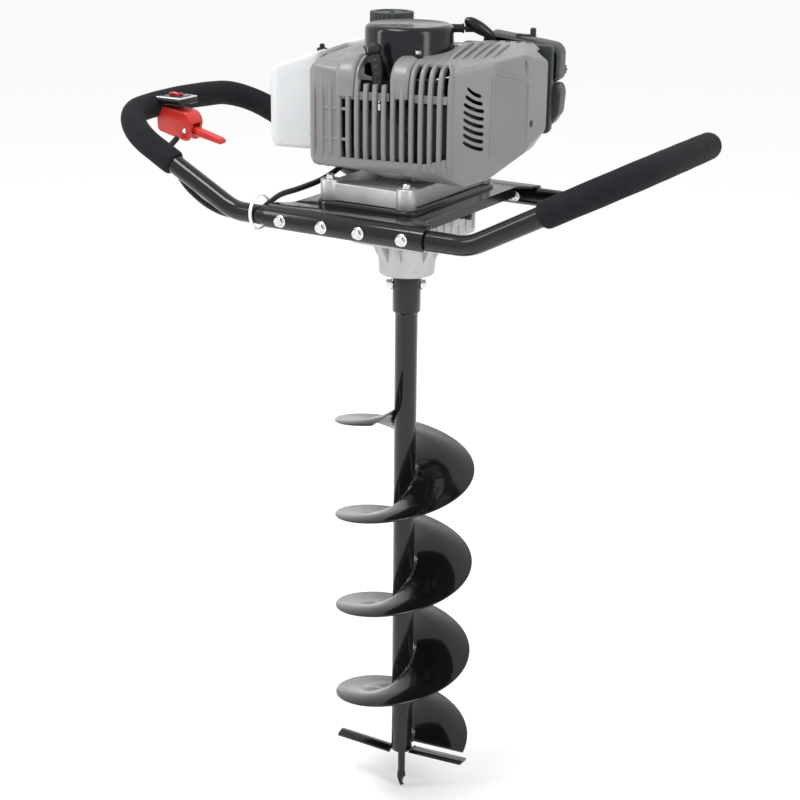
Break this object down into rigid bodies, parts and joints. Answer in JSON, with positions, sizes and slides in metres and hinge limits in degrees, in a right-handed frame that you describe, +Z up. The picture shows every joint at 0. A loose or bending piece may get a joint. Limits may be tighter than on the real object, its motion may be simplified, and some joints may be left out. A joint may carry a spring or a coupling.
{
  "type": "powered ice and earth auger",
  "caption": "One-person petrol-engine auger: spiral flight on a tube, reduction gearbox, loop handles with foam grips, recoil starter and fuel tank.",
  "frame": {"origin": "on the drive axis, level with the centres of the horizontal handle tubes", "axes": "+Z up along the auger's tube towards the engine, +X along the handles to the operator's right, -Y to the front, where the engine's grille faces"},
  "size_m": [0.8094, 0.3487, 1.1608],
  "materials": {
    "gloss_black_paint": "gloss powder coat",
    "foam_grip": "matte closed-cell foam",
    "zinc_fastener": "bright zinc plate",
    "cast_aluminium": "as-cast, fine sand texture",
    "machined_steel": "machined, lightly oiled",
    "grey_shroud_plastic": "moulded, semi-gloss",
    "white_tank_plastic": "blow-moulded translucent polyethylene",
    "dark_plastic": "moulded, fine grain",
    "gloss_black_plastic": "moulded, gloss",
    "white_nylon": "moulded nylon",
    "black_rubber": "satin",
    "black_cord": "braided cord",
    "red_plastic": "moulded, semi-gloss"
  },
  "bodies": {
    "frame": {"air_cleaner_base": "dark_plastic", "cable_tie": "white_nylon", "carburettor": "cast_aluminium", "clutch_housing": "cast_aluminium", "cover_screw_1": "zinc_fastener", "cover_screw_2": "zinc_fastener", "cover_screw_3": "zinc_fastener", "cover_screw_4": "zinc_fastener", "crankcase": "cast_aluminium", "cylinder": "cast_aluminium", "frame_plate": "gloss_black_paint", "fuel_tank": "white_tank_plastic", "gearbox_cover": "cast_aluminium", "gearbox_housing": "cast_aluminium", "grip_left": "foam_grip", "grip_right": "foam_grip", "handle_bolt_front_1": "zinc_fastener", "handle_bolt_front_2": "zinc_fastener", "handle_bolt_front_3": "zinc_fastener", "handle_bolt_front_4": "zinc_fastener", "handle_bolt_rear_1": "zinc_fastener", "handle_bolt_rear_2": "zinc_fastener", "handle_bolt_rear_3": "zinc_fastener", "handle_bolt_rear_4": "zinc_fastener", "handle_tube_left": "gloss_black_paint", "handle_tube_right": "gloss_black_paint", "muffler": "machined_steel", "output_bearing": "machined_steel", "shroud": "grey_shroud_plastic", "spark_plug": "zinc_fastener", "spark_plug_boot": "black_rubber", "starter_housing": "gloss_black_plastic", "switch_box": "gloss_black_plastic", "throttle_conduit": "black_rubber", "throttle_housing": "red_plastic"},
    "auger": {"auger_tube": "gloss_black_paint", "auger_flight": "gloss_black_paint", "cutter_left": "gloss_black_paint", "cutter_right": "gloss_black_paint", "pilot_point": "gloss_black_paint", "drive_pin": "zinc_fastener", "output_shaft": "machined_steel", "output_gear": "machined_steel"},
    "layshaft": {"intermediate_shaft": "machined_steel", "intermediate_gear": "machined_steel"},
    "input_shaft": {"input_pinion": "machined_steel", "clutch_drum": "machined_steel"},
    "crank": {"crankshaft": "machined_steel", "clutch_rotor": "machined_steel", "flywheel": "cast_aluminium"},
    "piston": {"piston": "machined_steel"},
    "pulley": {"starter_pulley": "white_nylon"},
    "pull_handle": {"starter_handle": "gloss_black_plastic", "starter_cord": "black_cord"},
    "trigger": {"throttle_trigger": "red_plastic"},
    "rocker": {"switch_rocker": "red_plastic"},
    "cap": {"fuel_cap": "dark_plastic"},
    "cleaner_lid": {"air_cleaner_cover": "dark_plastic"},
    "cleaner_knob": {"air_cleaner_knob": "dark_plastic"},
    "choke": {"choke_lever": "dark_plastic"}
  },
  "joints": [
    {"name": "auger_spin", "type": "hinge", "parent": "frame", "child": "auger", "pos_m": [0, 0, 0], "axis": [0, 0, 1], "continuous": true},
    {"name": "layshaft_spin", "type": "hinge", "parent": "frame", "child": "layshaft", "pos_m": [0, 0.045, 0], "axis": [0, 0, 1], "continuous": true},
    {"name": "input_spin", "type": "hinge", "parent": "frame", "child": "input_shaft", "pos_m": [0, 0, 0], "axis": [0, 0, 1], "continuous": true},
    {"name": "crank_spin", "type": "hinge", "parent": "frame", "child": "crank", "pos_m": [0, 0, 0.1], "axis": [0, 0, 1], "continuous": true},
    {"name": "piston_stroke", "type": "slide", "parent": "frame", "child": "piston", "axis": [-0.225, 0.9744, 0], "range_m": [0, 0.032]},
    {"name": "starter_pull", "type": "slide", "parent": "frame", "child": "pull_handle", "axis": [0.8572, 0.515, 0], "range_m": [0, 0.6], "stiffness_N_per_m": 6, "springref_m": -0.5},
    {"name": "pulley_spin", "type": "hinge", "parent": "frame", "child": "pulley", "pos_m": [0, 0, 0.234], "axis": [0, 0, 1], "range_deg": [-1600, 5]},
    {"name": "trigger_pull", "type": "hinge", "parent": "frame", "child": "trigger", "pos_m": [-0.328, -0.049, 0.078], "axis": [0, 1, 0], "range_deg": [-14, 0], "stiffness_Nm_per_rad": 0.4, "springref_deg": 34.38},
    {"name": "switch_press", "type": "hinge", "parent": "frame", "child": "rocker", "pos_m": [-0.352, -0.05, 0.1243], "axis": [0, 1, 0], "range_deg": [-10, 10]},
    {"name": "cap_turn", "type": "hinge", "parent": "frame", "child": "cap", "pos_m": [-0.07241, 0.0736, 0.2195], "axis": [0, 0, 1], "range_deg": [0, 720]},
    {"name": "lid_pull", "type": "slide", "parent": "frame", "child": "cleaner_lid", "axis": [-0.225, 0.9744, 0], "range_m": [0, 0.06]},
    {"name": "knob_turn", "type": "hinge", "parent": "cleaner_lid", "child": "cleaner_knob", "pos_m": [0.13932, 0.16558, 0.175], "axis": [-0.225, 0.9744, 0], "range_deg": [0, 1080]},
    {"name": "choke_turn", "type": "hinge", "parent": "frame", "child": "choke", "pos_m": [0.10013, 0.11754, 0.222], "axis": [0, 0, 1], "range_deg": [-40, 0]}
  ],
  "couplings": [
    {"joint": "layshaft_spin", "follows": "auger_spin", "ratio": -5.6667},
    {"joint": "input_spin", "follows": "auger_spin", "ratio": 32.111},
    {"joint": "pulley_spin", "follows": "starter_pull", "rad_per_m": -45.455}
  ]
}
